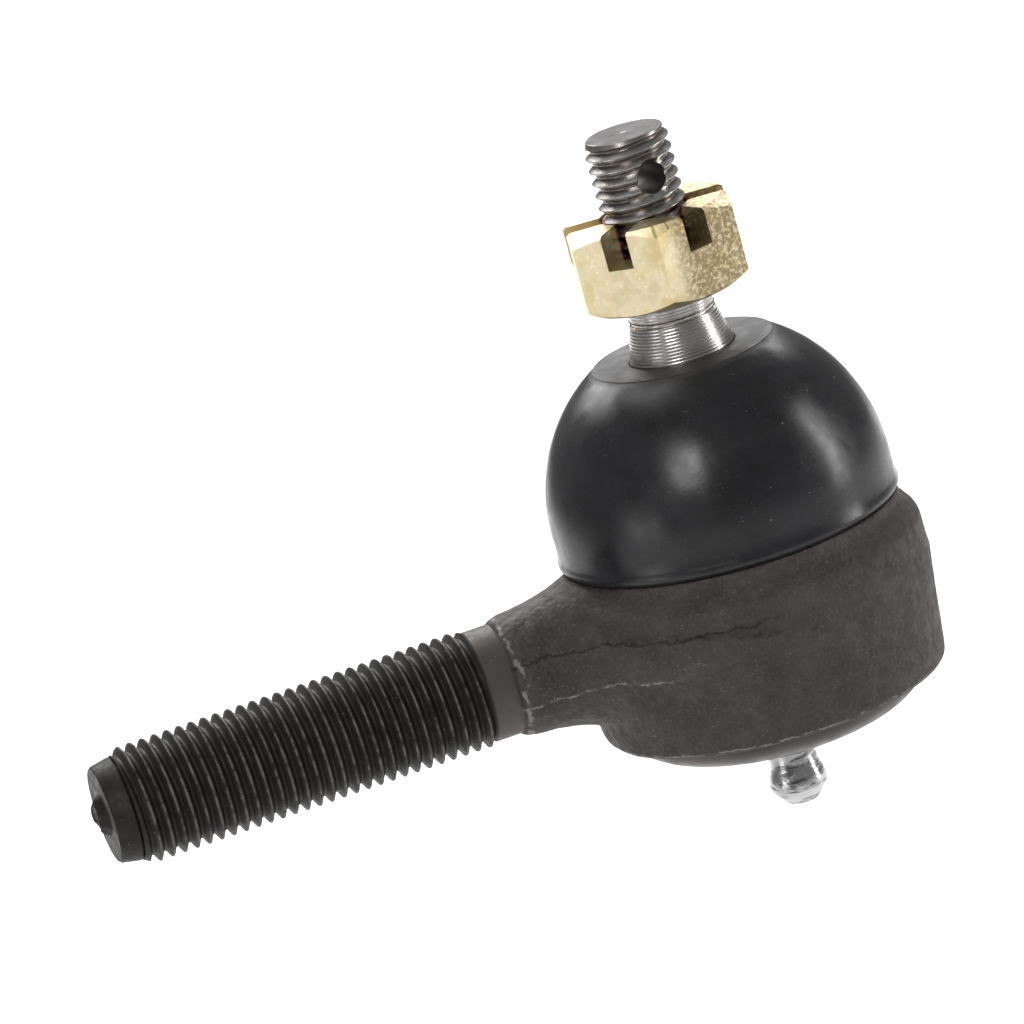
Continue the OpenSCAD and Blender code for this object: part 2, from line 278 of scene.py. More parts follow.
# bored from below for the seat and the cover, and from above for the stud
cavity_r = ball_r + 0.05 * mm
throat_z = 6 * mm
throat_r = math.sqrt(cavity_r ** 2 - throat_z ** 2)
throat_angle = math.degrees(math.asin(throat_z / cavity_r))
seat_bore_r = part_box("pressure_seat")[1][0] + 0.05 * mm
cover_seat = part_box("end_cover")[1][2] + 0.02 * mm
lip_top = cover_seat - 1.64 * mm
bore = turned("bore", [
    (0, lip_bottom - 2 * mm), (lip_r, lip_bottom - 2 * mm), (lip_r, lip_top), (cover_r + 0.04 * mm, lip_top),
    (cover_r + 0.04 * mm, cover_seat), (seat_bore_r, cover_seat), (seat_bore_r, -1 * mm),
    (math.sqrt(cavity_r ** 2 - mm ** 2), -1 * mm)]
    + bend((0, 0), cavity_r, 0, throat_angle, 10)
    + [(throat_r + 2.1 * mm, spigot_top + 0.1 * mm), (throat_r + 2.1 * mm, spigot_top + mm), (0, spigot_top + mm)], 128)
combine(forging, bore, "DIFFERENCE")

# the shank: plain turned collar, then the thread, trimmed by the turned blank
shank = screw_thread("shank", shank_r, shank_pitch, thread_start - 0.2 * mm, shank_tip - 2.8 * mm)
blank = turned("blank", [
    (0, thread_start - 3 * mm), (collar_r - 0.7 * mm, thread_start - 0.5 * mm), (collar_r, thread_start),
    (shank_r + 0.05 * mm, thread_start + 0.5 * mm),
    (shank_r + 0.05 * mm, shank_tip - 4.4 * mm), (shank_r - 0.75 * mm, shank_tip - 3.1 * mm),
    (0, shank_tip - 3.1 * mm)], 96)
combine(shank, blank, "INTERSECT")

# a plain point, with the rough nib left where the bar was parted off
nib_base = shank_tip - 0.4 * mm
point = turned("point", [
    (0, shank_tip - 4.2 * mm), (shank_r - 1.3 * mm, shank_tip - 4.2 * mm), (shank_r - 1.3 * mm, shank_tip - 3 * mm),
    (shank_r - 0.8 * mm, shank_tip - 2.8 * mm), (shank_r - 1.2 * mm, nib_base - 0.3 * mm),
    (shank_r - 1.45 * mm, nib_base), (2.5 * mm, nib_base), (2.1 * mm, nib_base + 0.5 * mm),
    (1.7 * mm, nib_base + 0.9 * mm), (1.1 * mm, nib_base + 1.0 * mm), (0.5 * mm, nib_base + 0.8 * mm),
    (0, nib_base + 0.7 * mm)], 96)
for vertex in point.data.vertices:
    if vertex.co.z > nib_base + 0.2 * mm:
        vertex.co += noise.noise_vector(vertex.co / mm * 0.8) * 0.35 * mm
combine(shank, point, "UNION")
collar = turned("collar", [
    (0, collar_start - 3 * mm), (collar_r - 0.3 * mm, collar_start - 3 * mm), (collar_r, collar_start),
    (collar_r, thread_start - 0.15 * mm), (collar_r - 0.35 * mm, thread_start + 0.2 * mm),
    (0, thread_start + 0.2 * mm)], 96)
combine(shank, collar, "UNION")
bpy.ops.object.mode_set(mode="EDIT")
bpy.ops.mesh.select_all(action="SELECT")
bpy.ops.mesh.fill_holes(sides=12)
close_up(0.001 * mm)
lay_along_shank(shank)
smooth(shank, 40)
smooth(forging, 45)


def new_finish(name):
    """Make a material, and return it with a function that adds a node to it."""
    finish = bpy.data.materials.new(name)
    finish.use_nodes = True
    tree = finish.node_tree

    def add(kind, sockets=None, **settings):
        made = tree.nodes.new(kind)
        for key, value in settings.items():
            setattr(made, key, value)
        for key, value in (sockets or {}).items():
            if isinstance(value, bpy.types.NodeSocket):
                tree.links.new(value, made.inputs[key])
            else:
                made.inputs[key].default_value = value
        return made

    return finish, add, tree.nodes["Principled BSDF"]


def wire(finish, shader, **sockets):
    """Link outputs to the shader's sockets, or set plain values on them."""
    for key, value in sockets.items():
        socket = shader.inputs[key.replace("_", " ")]
        if isinstance(value, bpy.types.NodeSocket):
            finish.node_tree.links.new(value, socket)
        else:
            socket.default_value = value


def in_mm(add, shift=(0, 0, 0), stretch=(1, 1, 1)):
    """The piece's own coordinates, in millimetres."""
    place = add("ShaderNodeTexCoord").outputs["Object"]
    return add("ShaderNodeMapping", {"Vector": place, "Location": shift,
                                     "Scale": [s / mm for s in stretch]}).outputs["Vector"]


def cloud(add, place, per_mm, detail=4, rough=0.55):
    """Noise with so many lumps to a millimetre."""
    return add("ShaderNodeTexNoise", {"Vector": place, "Scale": per_mm, "Detail": detail,
                                      "Roughness": rough}).outputs["Fac"]


def between(add, value, low, high, start=0.0, end=1.0):
    """Map a value from one range to another, with a smooth step and no overshoot."""
    return add("ShaderNodeMapRange", {"Value": value, "From Min": low, "From Max": high,
                                      "To Min": start, "To Max": end},
               interpolation_type="SMOOTHSTEP").outputs["Result"]


def blend_colours(add, amount, first, second):
    mixed = add("ShaderNodeMix", {"Factor": amount}, data_type="RGBA")
    for socket, colour in ((mixed.inputs[6], first), (mixed.inputs[7], second)):
        if isinstance(colour, bpy.types.NodeSocket):
            mixed.id_data.links.new(colour, socket)
        else:
            socket.default_value = (*colour, 1)
    return mixed.outputs[2]


def sum_up(add, first, second, operation="ADD"):
    return add("ShaderNodeMath", {0: first, 1: second}, operation=operation).outputs[0]


def bumps(add, height, depth, strength=1.0, under=None):
    """Bumps of a depth in metres."""
    sockets = {"Height": height, "Distance": depth, "Strength": strength}
    if under is not None:
        sockets["Normal"] = under
    return add("ShaderNodeBump", sockets).outputs["Normal"]


def specks(add, place, per_mm, size, share):
    """Small bright grains: where they are, 1, and elsewhere 0."""
    cells = add("ShaderNodeTexVoronoi", {"Vector": place, "Scale": per_mm})
    dot = between(add, cells.outputs["Distance"], size * 0.6, size, 1, 0)
    pick = add("ShaderNodeSeparateColor", {"Color": cells.outputs["Color"]}).outputs[0]
    chosen = add("ShaderNodeMath", {0: pick, 1: share}, operation="LESS_THAN").outputs[0]
    return sum_up(add, dot, chosen, "MULTIPLY")


def scratches(add, place, stretch, turn, level):
    """Fine broken lines in one direction."""
    lined = add("ShaderNodeMapping", {"Vector": place, "Rotation": turn, "Scale": stretch}).outputs["Vector"]
    line = between(add, cloud(add, lined, 1.0, 2, 0.5), level, level + 0.02)
    return sum_up(add, line, between(add, cloud(add, place, 0.35, 2), 0.52, 0.6), "MULTIPLY")


def radius_about(add, place, first, second):
    """Distance from an axis, from two of the coordinates in millimetres."""
    split = add("ShaderNodeSeparateXYZ", {"Vector": place})
    squares = [sum_up(add, split.outputs[i], split.outputs[i], "MULTIPLY") for i in (first, second)]
    return add("ShaderNodeMath", {0: sum_up(add, *squares)}, operation="SQRT").outputs[0], split


# forging scale: dark warm grey, pebbled, with bright grains and light scratches
scale, add, shader = new_finish("forging_scale")
place = in_mm(add)
tone = cloud(add, place, 0.22, 6, 0.6)
grain = cloud(add, place, 2.6, 5, 0.65)
dark = blend_colours(add, between(add, tone, 0.3, 0.7), (0.046, 0.040, 0.038), (0.070, 0.062, 0.059))
dark = blend_colours(add, between(add, grain, 0.46, 0.72, 0, 0.5), dark, (0.11, 0.099, 0.094))
dust = specks(add, place, 0.7, 0.07, 0.2)
dust = sum_up(add, dust, specks(add, place, 1.9, 0.13, 0.09), "MAXIMUM")
dust = sum_up(add, dust, scratches(add, place, (1.6, 1.6, 8), (0.2, 0.1, 0.5), 0.68), "MAXIMUM")
colour = blend_colours(add, sum_up(add, dust, 0.5, "MULTIPLY"), dark, (0.42, 0.40, 0.38))

# torn edges: the trimmed flash's two sides and the turned shoulder; and a pale line along the rim's lower edge
split = add("ShaderNodeSeparateXYZ", {"Vector": place})
along, height = split.outputs[0], split.outputs[2]
tear = sum_up(add, cloud(add, place, 0.5, 5, 0.7), 0.5, "SUBTRACT")
patchy = between(add, cloud(add, place, 0.7, 3), 0.40, 0.55)


def torn_line(value, at, sway, half):
    """A line of a half width in millimetres where a value is at a place, give or take a sway."""
    off = sum_up(add, sum_up(add, value, at, "SUBTRACT"), sum_up(add, tear, sway, "MULTIPLY"))
    return between(add, add("ShaderNodeMath", {0: off}, operation="ABSOLUTE").outputs[0], half * 0.4, half, 1, 0)


upper = sum_up(add, torn_line(height, 2.7, 2.4, 0.2), between(add, along, -6, 0, 1, 0), "MULTIPLY")
lower = sum_up(add, torn_line(height, -2.3, 2.4, 0.22), between(add, along, -17, -13, 1, 0), "MULTIPLY")
shoulder = torn_line(along, -neck_end / mm + 0.7, 2.2, 0.28)
rim_edge_line = torn_line(height, lip_bottom / mm + 0.45, 1.0, 0.13)
pale = sum_up(add, sum_up(add, lower, shoulder, "MAXIMUM"), rim_edge_line, "MAXIMUM")
colour = blend_colours(add, sum_up(add, upper, 0.75, "MULTIPLY"), colour, (0.012, 0.010, 0.010))
colour = blend_colours(add, sum_up(add, sum_up(add, pale, patchy, "MULTIPLY"), 0.6, "MULTIPLY"), colour, (0.34, 0.32, 0.30))
pebbles = add("ShaderNodeTexVoronoi", {"Vector": place, "Scale": 1.7}, feature="SMOOTH_F1").outputs["Distance"]
lumps = bumps(add, pebbles, 0.16 * mm, 0.8)
lumps = bumps(add, grain, 0.16 * mm, 1.0, lumps)
wire(scale, shader, Base_Color=colour, Metallic=0.3, Normal=lumps, Specular_IOR_Level=0.4,
     Roughness=between(add, cloud(add, place, 0.8, 4), 0.3, 0.7, 0.46, 0.68))
forging.data.materials.append(scale)

# oiled black thread: crests rubbed lighter, and a collar with turning lines
oiled, add, shader = new_finish("oiled_thread")
place = in_mm(add)
from_axis, split = radius_about(add, place, 1, 2)
along = split.outputs[0]
wear = cloud(add, place, 0.7, 5, 0.7)
crest = sum_up(add, between(add, from_axis, 6.80, 6.99), between(add, wear, 0.35, 0.62), "MULTIPLY")
plain = between(add, along, -thread_start / mm - 0.4, -thread_start / mm + 0.2)
tone = blend_colours(add, between(add, wear, 0.3, 0.7), (0.016, 0.0145, 0.014), (0.030, 0.027, 0.025))
tone = blend_colours(add, plain, tone, (0.10, 0.090, 0.085))
tone = blend_colours(add, sum_up(add, crest, 0.8, "MULTIPLY"), tone, (0.17, 0.155, 0.148))
tone = blend_colours(add, sum_up(add, specks(add, place, 1.6, 0.15, 0.12), 0.5, "MULTIPLY"), tone, (0.4, 0.38, 0.36))
lines = add("ShaderNodeTexWave", {"Vector": place, "Scale": 1.9, "Distortion": 0.6, "Detail": 2.0},
            bands_direction="X").outputs["Fac"]
fine = bumps(add, lines, 0.012 * mm, 0.5)
fine = bumps(add, cloud(add, place, 3.5, 4), 0.03 * mm, 0.45, fine)
wire(oiled, shader, Base_Color=tone, Metallic=0.4, Normal=fine, Specular_IOR_Level=0.3,
     Roughness=between(add, cloud(add, place, 1.2, 4), 0.3, 0.7, 0.42, 0.6))
shank.data.materials.append(oiled)

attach(forging, "housing_body")
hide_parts("housing")
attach(shank, "housing_body")

# ---------------------------------------------------------------------------
# Ball stud: turned from bar.  From the top it has an M10 thread with a drilled
# hole for a split pin, a cone that seats in the steering arm, a neck, and the
# lower half of the ball.  Bare bright steel with fine turning lines.
# ---------------------------------------------------------------------------
stud_low, stud_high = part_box("ball_stud")
stud_top = stud_high[2]
stud_r = 5 * mm
stud_pitch = 1.5 * mm
nut_low, nut_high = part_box("castle_nut")
stud_thread_end = nut_low[2] - 0.3 * mm
boot_low, boot_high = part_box("dust_boot")
cone_small_r = stud_r + 0.15 * mm
cone_top = 34.6 * mm
cone_length = 7.6 * mm
cone_slope = math.tan(math.radians(14))
cone_large_r = cone_small_r + cone_length * cone_slope
neck_r = 5.5 * mm
pin_hole_r = 1.8 * mm
pin_hole_drop = 5.2 * mm
pin_hole_turn = math.radians(-78)

stud = screw_thread("ball_stud", stud_r, stud_pitch, stud_thread_end - 1.2 * mm, stud_top - 0.05 * mm, 120, 0.46)
blank = turned("blank", [
    (0, stud_thread_end - mm), (stud_r - 0.95 * mm, stud_thread_end - 0.4 * mm),
    (stud_r + 0.05 * mm, stud_thread_end + 0.6 * mm),
    (stud_r + 0.05 * mm, stud_top - 1.3 * mm), (stud_r - 0.25 * mm, stud_top - 0.9 * mm),
    (stud_r - 0.45 * mm, stud_top - 0.12 * mm), (stud_r - 0.6 * mm, stud_top),
    (0.5 * mm, stud_top), (0, stud_top - 0.25 * mm)], 120)
combine(stud, blank, "INTERSECT")
lower = turned("lower", [(0, stud_low[2])]
    + bend((0, 0), ball_r, -math.degrees(math.asin(-stud_low[2] / ball_r)), -1, 16)
    + [(ball_r - 0.05 * mm, 0), (neck_r, 0), (neck_r, 20.5 * mm)]
    + [(neck_r + 0.25 * mm, 22 * mm), (cone_large_r - 0.25 * mm, 25.2 * mm), (cone_large_r, 25.6 * mm),
       (cone_large_r, cone_top - cone_length), (cone_small_r, cone_top)]
    + bend((cone_small_r + 0.02 * mm, cone_top + 0.3 * mm), 0.32 * mm, 262, 98, 6)
    + [(stud_r - 0.02 * mm, cone_top + 0.62 * mm), (stud_r, cone_top + 0.75 * mm),
       (stud_r, stud_thread_end - 0.45 * mm), (stud_r - 0.5 * mm, stud_thread_end - 0.1 * mm),
       (stud_r - mm, stud_thread_end), (0, stud_thread_end)], 120)
combine(stud, lower, "UNION")
for deep, wide in ((stud_r * 3, pin_hole_r), (0, pin_hole_r + 0.9 * mm)):
    sides = (1,) if deep else (1, -1)
    for side in sides:
        bpy.ops.object.select_all(action="DESELECT")
        if deep:
            bpy.ops.mesh.primitive_cylinder_add(vertices=64, radius=wide, depth=deep)
        else:
            bpy.ops.mesh.primitive_cone_add(vertices=48, radius1=pin_hole_r * 0.9, radius2=wide, depth=1.3 * mm)
        drill = bpy.context.active_object
        bpy.ops.object.mode_set(mode="EDIT")
        bpy.ops.transform.translate(value=(0, 0, 0 if deep else 4.62 * mm))
        bpy.ops.object.mode_set(mode="OBJECT")
        drill.rotation_euler = (0, math.pi / 2 * side, pin_hole_turn)
        drill.location = (0, 0, stud_top - pin_hole_drop)
        bpy.ops.object.transform_apply(location=True, rotation=True, scale=False)
        combine(stud, drill, "DIFFERENCE")
smooth(stud, 35)

bright, add, shader = new_finish("turned_steel")
place = in_mm(add)
from_axis, split = radius_about(add, place, 0, 1)
height = split.outputs[2]
on_thread = between(add, height, stud_thread_end / mm - 0.8, stud_thread_end / mm - 0.4)
# painted shade: the thread's roots are painted dark brown
root = sum_up(add, between(add, from_axis, 4.25, 4.8, 1, 0), on_thread, "MULTIPLY")
stain = cloud(add, place, 0.5, 5, 0.65)
steel = blend_colours(add, between(add, stain, 0.35, 0.7), (0.56, 0.54, 0.52), (0.36, 0.34, 0.325))
steel = blend_colours(add, sum_up(add, root, 0.85, "MULTIPLY"), steel, (0.09, 0.07, 0.06))
# painted shade: the stud's flat top face is painted dark grey, and also made rougher
shaded_top_face = between(add, height, stud_top / mm - 0.1, stud_top / mm - 0.04)
steel = blend_colours(add, shaded_top_face, steel, (0.085, 0.082, 0.082))
rings = add("ShaderNodeTexWave", {"Vector": place, "Scale": 0.85, "Distortion": 0.12, "Detail": 2.0},
            bands_direction="Z").outputs["Fac"]
hole_place = add("ShaderNodeMapping", {"Vector": place, "Location": (0, 0, (pin_hole_drop - stud_top) / mm)}).outputs[0]
hole_place = add("ShaderNodeMapping", {"Vector": hole_place, "Rotation": (0, 0, -pin_hole_turn)}).outputs[0]
from_hole = radius_about(add, hole_place, 1, 2)[0]
# painted shade: the split pin hole's wall is painted dark, and also made rougher
hole_wall_shade = between(add, from_hole, pin_hole_r / mm + 0.02, pin_hole_r / mm + 0.16, 1, 0)
scuffed = between(add, from_hole, pin_hole_r / mm + 0.2, pin_hole_r / mm + 1.1, 1, 0)
scuffed = sum_up(add, scuffed, between(add, cloud(add, place, 0.9, 3), 0.35, 0.55), "MULTIPLY")
steel = blend_colours(add, sum_up(add, scuffed, 0.7, "MULTIPLY"), steel, (0.72, 0.69, 0.65))
steel = blend_colours(add, hole_wall_shade, steel, (0.10, 0.09, 0.082))
on_cone = sum_up(add, 1, on_thread, "SUBTRACT")
turning = bumps(add, sum_up(add, rings, on_cone, "MULTIPLY"), 0.02 * mm, 0.9)
turning = bumps(add, cloud(add, place, 4, 4), 0.03 * mm, 0.35, turning)
gloss = between(add, stain, 0.3, 0.7, 0.2, 0.36)
wire(bright, shader, Base_Color=steel, Metallic=1.0, Normal=turning,
     Roughness=sum_up(add, gloss, sum_up(add, sum_up(add, shaded_top_face, hole_wall_shade, "MAXIMUM"), 0.3, "MULTIPLY")))
stud.data.materials.append(bright)
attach(stud, "stud_body")
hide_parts("ball_stud")

# ---------------------------------------------------------------------------
# Castle nut: cold formed hexagon, chamfered both ends, tapped, with a slot
# milled through the middle of each flat.  Yellow zinc plate, pale on the
# flats, with painted shade in dark olive on its +X side, and the tapped bore
# painted dark red-brown as painted shade.
# ---------------------------------------------------------------------------
nut_flats = 19 * mm
nut_corner_r = nut_flats / 2 / math.cos(math.pi / 6)
nut_face_r = nut_flats / 2 * 0.965
nut_chamfer = (nut_corner_r - nut_face_r) * math.tan(math.radians(32))
nut_turn = math.radians(-100)
nut_slot_w = 3.2 * mm
nut_slot_depth = 4.2 * mm
nut_bottom, nut_top = nut_low[2], nut_high[2]

bpy.ops.object.select_all(action="DESELECT")
bpy.ops.mesh.primitive_cylinder_add(vertices=6, radius=nut_corner_r, depth=nut_top - nut_bottom,
                                    location=(0, 0, (nut_top + nut_bottom) / 2))
nut = bpy.context.active_object
nut.name = nut.data.name = "castle_nut"
nut.rotation_euler = (0, 0, nut_turn - math.pi / 2)
bpy.ops.object.transform_apply(location=True, rotation=True, scale=False)
crown = turned("crown", [
    (0, nut_bottom), (nut_face_r, nut_bottom), (nut_corner_r + 0.1 * mm, nut_bottom + nut_chamfer * 1.08),
    (nut_corner_r + 0.1 * mm, nut_top - nut_chamfer * 1.08), (nut_face_r, nut_top), (0, nut_top)], 180)
combine(nut, crown, "INTERSECT")
for turn in range(3):
    bpy.ops.object.select_all(action="DESELECT")
    bpy.ops.mesh.primitive_cube_add(size=1)
    cutter = bpy.context.active_object
    cutter.scale = (nut_flats * 2, nut_slot_w, nut_slot_depth + mm)
    cutter.location = (0, 0, nut_top - nut_slot_depth / 2 + mm / 2)
    cutter.rotation_euler = (0, 0, nut_turn + math.radians(30 + 60 * turn))
    bpy.ops.object.transform_apply(location=True, rotation=True, scale=True)
    combine(nut, cutter, "DIFFERENCE")
tap = screw_thread("tap", stud_r + 0.08 * mm, stud_pitch, nut_bottom - 2 * mm, nut_top + 2 * mm, 96)
combine(nut, tap, "DIFFERENCE")
sinks = turned("sinks", [
    (0, nut_bottom - mm), (stud_r + 1.3 * mm, nut_bottom - mm), (stud_r - 0.7 * mm, nut_bottom + mm),
    (stud_r - 0.7 * mm, nut_top - mm), (stud_r + 1.3 * mm, nut_top + mm), (0, nut_top + mm)], 90)
combine(nut, sinks, "DIFFERENCE")
outer = nut.vertex_groups.new(name="outer")
outer.add([v.index for v in nut.data.vertices if math.hypot(v.co.x, v.co.y) > stud_r + 0.7 * mm], 1, "REPLACE")
bpy.ops.object.select_all(action="DESELECT")
bpy.context.view_layer.objects.active = nut
nut.select_set(True)
bpy.ops.object.modifier_add(type="BEVEL")
edge = nut.modifiers[-1]
edge.width = 0.14 * mm
edge.segments = 2
edge.limit_method = "VGROUP"
edge.vertex_group = outer.name
bpy.ops.object.modifier_apply(modifier=edge.name)
nut.vertex_groups.clear()
smooth(nut, 30)

zinc, add, shader = new_finish("yellow_zinc")
place = in_mm(add)
from_axis, split = radius_about(add, place, 0, 1)
sheen = cloud(add, place, 0.22, 3, 0.5)
film = add("ShaderNodeValToRGB", {"Fac": between(add, sheen, 0.32, 0.68)})
stops = film.color_ramp.elements
stops[0].position, stops[0].color = 0.0, (0.74, 0.60, 0.33, 1)
stops[1].position, stops[1].color = 1.0, (0.72, 0.66, 0.40, 1)
for spot, colour in ((0.3, (0.82, 0.70, 0.42, 1)), (0.55, (0.86, 0.76, 0.52, 1)), (0.8, (0.80, 0.66, 0.44, 1))):
    stop = stops.new(spot)
    stop.color = colour
mottle = cloud(add, place, 2.2, 5, 0.7)
# painted shade: the nut's side towards +X is painted dark olive, in patches
toward_shaded_side = sum_up(add, split.outputs[0], sum_up(add, cloud(add, place, 0.3, 3), 6, "MULTIPLY"))
side_shade = sum_up(add, between(add, toward_shaded_side, 1.5, 5), between(add, mottle, 0.36, 0.56), "MULTIPLY")
plate = blend_colours(add, sum_up(add, side_shade, 0.85, "MULTIPLY"), film.outputs["Color"], (0.26, 0.19, 0.09))
# painted shade: the tapped bore's wall is painted dark red-brown
bore_shade = between(add, from_axis, 5.15, 5.6, 1, 0)
plate = blend_colours(add, bore_shade, plate, (0.16, 0.035, 0.022))
skin_marks = bumps(add, mottle, 0.06 * mm, 0.6)
skin_marks = bumps(add, scratches(add, place, (0.5, 0.5, 6), (0.9, 0.2, 0.1), 0.62), 0.02 * mm, 0.5, skin_marks)
wire(zinc, shader, Base_Color=plate, Metallic=0.92, Normal=skin_marks,
     Roughness=between(add, mottle, 0.3, 0.7, 0.26, 0.46))
nut.data.materials.append(zinc)
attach(nut, "stud_body")
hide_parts("castle_nut")

# ---------------------------------------------------------------------------
# Half ball: a bored steel collar with a spherical outside, slipped over the
# stud's neck so that it rests on the lower half.  Hidden by the housing.
# Pressure seat: a steel cup under the ball.  Both keep their exact shapes.
# ---------------------------------------------------------------------------
bearing, add, shader = new_finish("greased_bearing_steel")
place = in_mm(add)
film = cloud(add, place, 0.4, 4)
grey = blend_colours(add, between(add, film, 0.35, 0.65), (0.40, 0.40, 0.41), (0.30, 0.25, 0.17))
wire(bearing, shader, Base_Color=grey, Metallic=0.95,
     Roughness=between(add, film, 0.3, 0.7, 0.18, 0.4),
     Normal=bumps(add, cloud(add, place, 3, 3), 0.02 * mm, 0.4))
for name in ("half_ball", "pressure_seat", "nipple_ball"):
    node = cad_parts[name]
    node.data.materials.clear()
    node.data.materials.append(bearing)

# ---------------------------------------------------------------------------
# Preload spring and nipple spring: wire wound into coils, one conical under
# the seat and one straight behind the check ball.
# ---------------------------------------------------------------------------


def coil(name, node, wire_r, turns, low_r, high_r, corners):
    """Wind a wire about Z between the ends of a node's box."""
    low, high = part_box(node)
    low_z, high_z = low[2] + wire_r, high[2] - wire_r
    bpy.ops.object.select_all(action="DESELECT")
    bpy.ops.mesh.primitive_circle_add(vertices=corners, radius=wire_r, fill_type="NOTHING",
                                      rotation=(math.pi / 2, 0, 0), location=(low_r, 0, low_z))
    spring = bpy.context.active_object
    spring.name = spring.data.name = name
    bpy.ops.object.transform_apply(location=True, rotation=True, scale=False)
    bpy.ops.object.modifier_add(type="SCREW")
    winding = spring.modifiers[-1]
    winding.angle = 2 * math.pi * turns
    winding.screw_offset = high_z - low_z
    winding.steps = winding.render_steps = math.ceil(turns * 48)
    bpy.ops.object.modifier_apply(modifier=winding.name)
    for point in spring.data.vertices:
        out = math.hypot(point.co.x, point.co.y)
        share = min(1.0, max(0.0, (point.co.z - low_z) / (high_z - low_z)))
        grown = 1 + (high_r - low_r) * share / out
        point.co.x *= grown
        point.co.y *= grown
    bpy.ops.object.mode_set(mode="EDIT")
    bpy.ops.mesh.select_all(action="SELECT")
    bpy.ops.mesh.fill_holes(sides=corners)
    close_up(0.0005 * mm)
    smooth(spring, 50)
    spring.data.materials.append(blued)
    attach(spring, "housing_body")
    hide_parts(node)
    return spring


blued, add, shader = new_finish("oiled_spring_wire")
place = in_mm(add)
film = cloud(add, place, 0.6, 4)
wire(blued, shader, Base_Color=blend_colours(add, film, (0.07, 0.08, 0.10), (0.16, 0.13, 0.11)), Metallic=0.9,
     Roughness=between(add, film, 0.3, 0.7, 0.25, 0.45),
     Normal=bumps(add, cloud(add, place, 4, 3), 0.01 * mm, 0.4))
coil("preload_spring", "preload_spring", 0.8 * mm, 2, 11.2 * mm, 7.6 * mm, 20)
valve_spring = coil("nipple_spring", "nipple_spring", 0.15 * mm, 8, 1.0 * mm, 1.0 * mm, 10)
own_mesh(valve_spring)

# ---------------------------------------------------------------------------
# End cover: a pressed steel dish, let into the housing's lower rim and held
# by the rim's crimped lip.  Smooth dark steel.
# ---------------------------------------------------------------------------
cover_low, cover_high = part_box("end_cover")
cover_t = 1.6 * mm
dish_r = lip_r - 0.04 * mm
dish_top = lip_bottom + 0.65 * mm
dish_square = 2.5
nipple_r = 3 * mm
floor_out = cover_low[2]
floor_in = floor_out + cover_t


def dish(radius, side_z, floor, count=24):
    """A squared quarter-ellipse from a dish's side to its floor, as far in as the nipple."""
    points = []
    for i in range(count + 1):
        angle = math.pi / 2 * i / count
        points.append((radius * max(0, math.cos(angle)) ** (2 / dish_square),
                       side_z + (floor - side_z) * math.sin(angle) ** (2 / dish_square)))
    return [p for p in points if p[0] > nipple_r + 0.3 * mm] + [(nipple_r + 0.04 * mm, floor)]


cover = turned("end_cover", [
    (dish_r - cover_t, cover_high[2]), (cover_r, cover_high[2]), (cover_r, lip_top + 0.03 * mm),
    (dish_r, lip_top + 0.02 * mm)] + dish(dish_r, dish_top, floor_out)
    + list(reversed(dish(dish_r - cover_t, lip_top + cover_t / 2, floor_in)))
    + [(dish_r - cover_t, cover_high[2])], 160)
smooth(cover, 40)

pressed, add, shader = new_finish("pressed_steel")
place = in_mm(add)
tone = cloud(add, place, 0.18, 4, 0.55)
dark = blend_colours(add, between(add, tone, 0.3, 0.7), (0.060, 0.052, 0.050), (0.080, 0.071, 0.067))
dark = blend_colours(add, sum_up(add, specks(add, place, 1.0, 0.1, 0.12), 0.4, "MULTIPLY"), dark, (0.5, 0.48, 0.45))
soft = bumps(add, cloud(add, place, 0.9, 4), 0.03 * mm, 0.3)
wire(pressed, shader, Base_Color=dark, Metallic=0.4, Normal=soft, Specular_IOR_Level=0.4,
     Roughness=between(add, cloud(add, place, 0.5, 4), 0.3, 0.7, 0.3, 0.46))
cover.data.materials.append(pressed)
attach(cover, "housing_body")
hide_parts("end_cover")

# ---------------------------------------------------------------------------
# Grease nipple: a turned and bright plated body driven into the cover, with
# a waist, a rounded head and a conical nose.
# ---------------------------------------------------------------------------
nipple_low, nipple_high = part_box("nipple_body")
nipple_head_r = nipple_high[0]
nose = nipple_low[2]
mouth_r = 0.68 * mm
bore_r = 1.25 * mm
bore_low = nose + 1.2 * mm
bore_high = nipple_high[2] - 0.6 * mm
nipple = turned("nipple_body", [
    (mouth_r, nose), (nipple_head_r * 0.5 - 0.1 * mm, nose)]
    + [(nipple_head_r * 0.5 + 0.2 * mm, nose + 0.12 * mm), (nipple_head_r - 0.35 * mm, nose + 1.55 * mm),
       (nipple_head_r - 0.1 * mm, nose + 1.85 * mm), (nipple_head_r, nose + 1.95 * mm),
       (nipple_head_r, nose + 2.6 * mm), (nipple_head_r - 0.08 * mm, nose + 3.2 * mm),
       (nipple_head_r - 0.27 * mm, nose + 3.9 * mm), (nipple_r - 0.02 * mm, nose + 4.6 * mm),
       (nipple_r - 0.14 * mm, nose + 5.2 * mm),
       (nipple_r - 0.15 * mm, floor_out - 0.25 * mm), (nipple_r, floor_out - 0.05 * mm),
       (nipple_r, nipple_high[2] - 0.6 * mm), (nipple_r - 0.4 * mm, nipple_high[2]),
       (mouth_r, nipple_high[2]), (mouth_r, bore_high), (bore_r, bore_high), (bore_r, bore_low),
       (mouth_r, bore_low), (mouth_r, nose)], 96)
smooth(nipple, 30)

plated, add, shader = new_finish("bright_plate")
place = in_mm(add)
dents = cloud(add, place, 0.9, 3, 0.6)
# painted reflection: dark bands across the plated body
reflection_bands = cloud(add, in_mm(add, (2, 5, 0), (0.25, 0.25, 1.6)), 1.0, 3, 0.6)
silver = blend_colours(add, between(add, reflection_bands, 0.50, 0.62), (0.60, 0.60, 0.60), (0.22, 0.22, 0.22))
wire(plated, shader, Base_Color=silver, Metallic=1.0,
     Roughness=between(add, cloud(add, place, 1.4, 4), 0.3, 0.7, 0.12, 0.28),
     Normal=bumps(add, dents, 0.2 * mm, 0.35))
nipple.data.materials.append(plated)
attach(nipple, "housing_body")
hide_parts("nipple_body")
